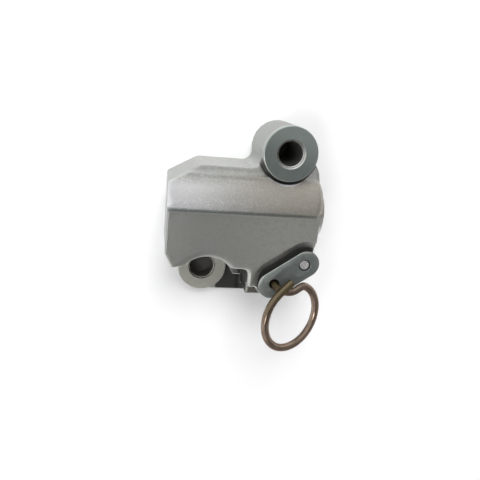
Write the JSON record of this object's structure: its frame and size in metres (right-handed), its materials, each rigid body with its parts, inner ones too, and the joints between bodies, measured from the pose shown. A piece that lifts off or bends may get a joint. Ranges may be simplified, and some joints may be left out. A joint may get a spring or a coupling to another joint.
{
  "type": "timing chain tensioner",
  "caption": "Die-cast hydraulic timing chain tensioner with a sliding plunger, ratchet pawl, release lever and a pull-ring stop pin.",
  "frame": {"origin": "axis of the upper bolt hole on the mounting face", "axes": "+Z out of the mounting face towards the bolt head, +X the way the plunger leaves, +Y from the plunger towards the upper boss"},
  "size_m": [0.047, 0.0649, 0.0289],
  "materials": {
    "cast_aluminium": "as-cast satin with machined bolt faces",
    "ground_steel": "ground",
    "spring_steel": "drawn wire",
    "valve_steel": "pressed",
    "lever_steel": "dark phosphated plate",
    "pin_steel": "bright staked end",
    "ring_wire": "brown tempered wire"
  },
  "bodies": {
    "housing": {"housing": "cast_aluminium", "plunger_spring": "spring_steel", "check_valve_seat": "valve_steel", "check_valve_spring": "spring_steel", "check_valve_cage": "valve_steel", "pawl_spring": "spring_steel"},
    "plunger": {"plunger": "ground_steel", "vent_disc": "valve_steel"},
    "lever": {"release_lever": "lever_steel", "pawl_shaft": "pin_steel", "pawl": "lever_steel"},
    "stop_pin": {"stop_pin": "ring_wire"},
    "check_ball": {"check_valve_ball": "ground_steel"}
  },
  "joints": [
    {"name": "plunger_slide", "type": "slide", "parent": "housing", "child": "plunger", "axis": [1, 0, 0], "range_m": [0, 0.015], "deforming": ["plunger_spring"]},
    {"name": "pin_pull", "type": "slide", "parent": "housing", "child": "stop_pin", "axis": [0, 0, 1], "range_m": [0, 0.022]},
    {"name": "lever_turn", "type": "hinge", "parent": "housing", "child": "lever", "pos_m": [0.0075, -0.0312, 0.0133], "axis": [0, 0, 1], "range_deg": [-5.8, 0], "deforming": ["pawl_spring"]},
    {"name": "ball_lift", "type": "slide", "parent": "housing", "child": "check_ball", "axis": [1, 0, 0], "range_m": [0, 0.0008], "stiffness_N_per_m": 20, "deforming": ["check_valve_spring"]}
  ],
  "couplings": [
    {"joint": "lever_turn", "follows": "pin_pull", "rad_per_m": -4.6}
  ]
}
